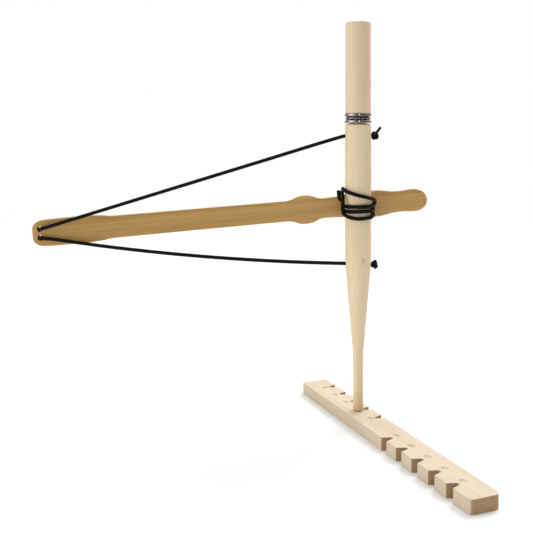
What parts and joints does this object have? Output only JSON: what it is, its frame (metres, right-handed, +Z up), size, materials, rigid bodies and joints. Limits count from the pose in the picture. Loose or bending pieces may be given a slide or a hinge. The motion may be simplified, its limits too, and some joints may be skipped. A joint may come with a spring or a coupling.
{
  "type": "bow drill fire set",
  "caption": "Turned wooden fire drill standing in a notched hearth board, with a ball-bearing hand grip and a corded bamboo bow stave lashed across it.",
  "frame": {"origin": "on the drill's axis, at the underside of the hearth board", "axes": "+Z up along the drill, +X towards the bow stave's pommel and -X towards its corded tip, +Y from the drill towards the stave's back"},
  "size_m": [0.4123, 0.2832, 0.3932],
  "materials": {
    "board_wood": "planed pale softwood, unfinished",
    "drill_wood": "turned pale hardwood, finely sanded, unfinished",
    "grip_wood": "sanded pale hardwood dowel, unfinished",
    "bamboo": "carbonised bamboo, satin oiled",
    "cord": "matt black braided polyester",
    "bearing_steel": "ground bright steel",
    "cage_steel": "pressed bright steel, slightly yellow"
  },
  "bodies": {
    "hearth": {"hearth_board": "board_wood"},
    "grip": {"hand_grip": "grip_wood", "bearing_upper_washer": "bearing_steel"},
    "drill": {"drill_spindle": "drill_wood", "bearing_lower_washer": "bearing_steel", "upper_stopper_knot": "cord", "lower_stopper_knot": "cord", "lashing_cord": "cord"},
    "cage": {"bearing_cage": "cage_steel"},
    "ball_01": {"bearing_ball_01": "bearing_steel"},
    "ball_02": {"bearing_ball_02": "bearing_steel"},
    "ball_03": {"bearing_ball_03": "bearing_steel"},
    "ball_04": {"bearing_ball_04": "bearing_steel"},
    "ball_05": {"bearing_ball_05": "bearing_steel"},
    "ball_06": {"bearing_ball_06": "bearing_steel"},
    "ball_07": {"bearing_ball_07": "bearing_steel"},
    "ball_08": {"bearing_ball_08": "bearing_steel"},
    "ball_09": {"bearing_ball_09": "bearing_steel"},
    "ball_10": {"bearing_ball_10": "bearing_steel"},
    "bow": {"bow_stave": "bamboo", "bow_cord": "cord"}
  },
  "joints": [
    {"name": "drill_lift", "type": "slide", "parent": "hearth", "child": "grip", "axis": [0, 0, 1], "range_m": [0, 0.05]},
    {"name": "drill_spin", "type": "hinge", "parent": "grip", "child": "drill", "pos_m": [0, 0, 0.29905], "axis": [0, 0, 1], "continuous": true},
    {"name": "cage_spin", "type": "hinge", "parent": "grip", "child": "cage", "pos_m": [0, 0, 0.29905], "axis": [0, 0, 1], "continuous": true},
    {"name": "ball_01_roll", "type": "hinge", "parent": "cage", "child": "ball_01", "pos_m": [0.0095, 0, 0.29905], "axis": [1, 0, 0], "continuous": true},
    {"name": "ball_02_roll", "type": "hinge", "parent": "cage", "child": "ball_02", "pos_m": [0.00769, 0.00558, 0.29905], "axis": [0.809, 0.5878, 0], "continuous": true},
    {"name": "ball_03_roll", "type": "hinge", "parent": "cage", "child": "ball_03", "pos_m": [0.00294, 0.00903, 0.29905], "axis": [0.309, 0.9511, 0], "continuous": true},
    {"name": "ball_04_roll", "type": "hinge", "parent": "cage", "child": "ball_04", "pos_m": [-0.00294, 0.00903, 0.29905], "axis": [-0.309, 0.9511, 0], "continuous": true},
    {"name": "ball_05_roll", "type": "hinge", "parent": "cage", "child": "ball_05", "pos_m": [-0.00769, 0.00558, 0.29905], "axis": [-0.809, 0.5878, 0], "continuous": true},
    {"name": "ball_06_roll", "type": "hinge", "parent": "cage", "child": "ball_06", "pos_m": [-0.0095, 0, 0.29905], "axis": [-1, 0, 0], "continuous": true},
    {"name": "ball_07_roll", "type": "hinge", "parent": "cage", "child": "ball_07", "pos_m": [-0.00769, -0.00558, 0.29905], "axis": [-0.809, -0.5878, 0], "continuous": true},
    {"name": "ball_08_roll", "type": "hinge", "parent": "cage", "child": "ball_08", "pos_m": [-0.00294, -0.00903, 0.29905], "axis": [-0.309, -0.9511, 0], "continuous": true},
    {"name": "ball_09_roll", "type": "hinge", "parent": "cage", "child": "ball_09", "pos_m": [0.00294, -0.00903, 0.29905], "axis": [0.309, -0.9511, 0], "continuous": true},
    {"name": "ball_10_roll", "type": "hinge", "parent": "cage", "child": "ball_10", "pos_m": [0.00769, -0.00558, 0.29905], "axis": [0.809, -0.5878, 0], "continuous": true},
    {"name": "bow_slide", "type": "slide", "parent": "drill", "child": "bow", "axis": [0.996, 0, 0.0888], "range_m": [0, 0.02], "deforming": ["bow_cord"]}
  ],
  "couplings": [
    {"joint": "cage_spin", "follows": "drill_spin", "ratio": 0.5},
    {"joint": "ball_01_roll", "follows": "drill_spin", "ratio": 1.9958},
    {"joint": "ball_02_roll", "follows": "drill_spin", "ratio": 1.9958},
    {"joint": "ball_03_roll", "follows": "drill_spin", "ratio": 1.9958},
    {"joint": "ball_04_roll", "follows": "drill_spin", "ratio": 1.9958},
    {"joint": "ball_05_roll", "follows": "drill_spin", "ratio": 1.9958},
    {"joint": "ball_06_roll", "follows": "drill_spin", "ratio": 1.9958},
    {"joint": "ball_07_roll", "follows": "drill_spin", "ratio": 1.9958},
    {"joint": "ball_08_roll", "follows": "drill_spin", "ratio": 1.9958},
    {"joint": "ball_09_roll", "follows": "drill_spin", "ratio": 1.9958},
    {"joint": "ball_10_roll", "follows": "drill_spin", "ratio": 1.9958}
  ]
}
